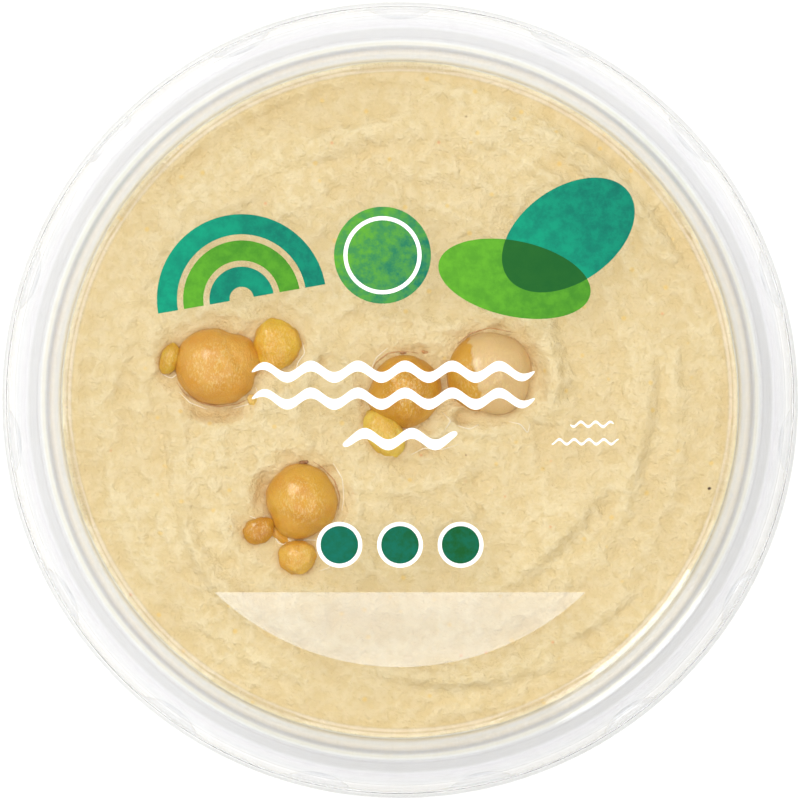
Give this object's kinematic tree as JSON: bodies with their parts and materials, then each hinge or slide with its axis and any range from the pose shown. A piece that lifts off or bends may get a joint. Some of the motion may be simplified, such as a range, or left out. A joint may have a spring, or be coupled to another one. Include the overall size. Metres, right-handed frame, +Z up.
{
  "type": "tub of hummus",
  "caption": "Round clear plastic tub of hummus with whole and split chickpeas pressed into the top, shut with a clear lid that snaps over its rim.",
  "frame": {"origin": "centre of the foot ring, on the surface that the tub stands on", "axes": "+Z up through the lid, +Y towards the side of the lid away from its white panel"},
  "size_m": [0.118, 0.118, 0.039],
  "materials": {
    "tub_plastic": "clear, glossy",
    "lid_plastic": "clear, glossy, with green and white print on its middle",
    "hummus": "thick smooth dip, slightly wet",
    "chickpea": "wet cooked chickpea",
    "split_chickpea": "wet split chickpea"
  },
  "bodies": {
    "root": {"tub": "tub_plastic", "lid": "lid_plastic", "hummus": "hummus", "chickpea_left": "chickpea", "chickpea_middle": "chickpea", "chickpea_right": "chickpea", "chickpea_lower": "chickpea", "chickpea_left_half": "split_chickpea", "chickpea_left_chip": "split_chickpea", "chickpea_middle_half": "split_chickpea", "chickpea_lower_half": "split_chickpea", "chickpea_lower_chip": "split_chickpea"}
  },
  "joints": []
}
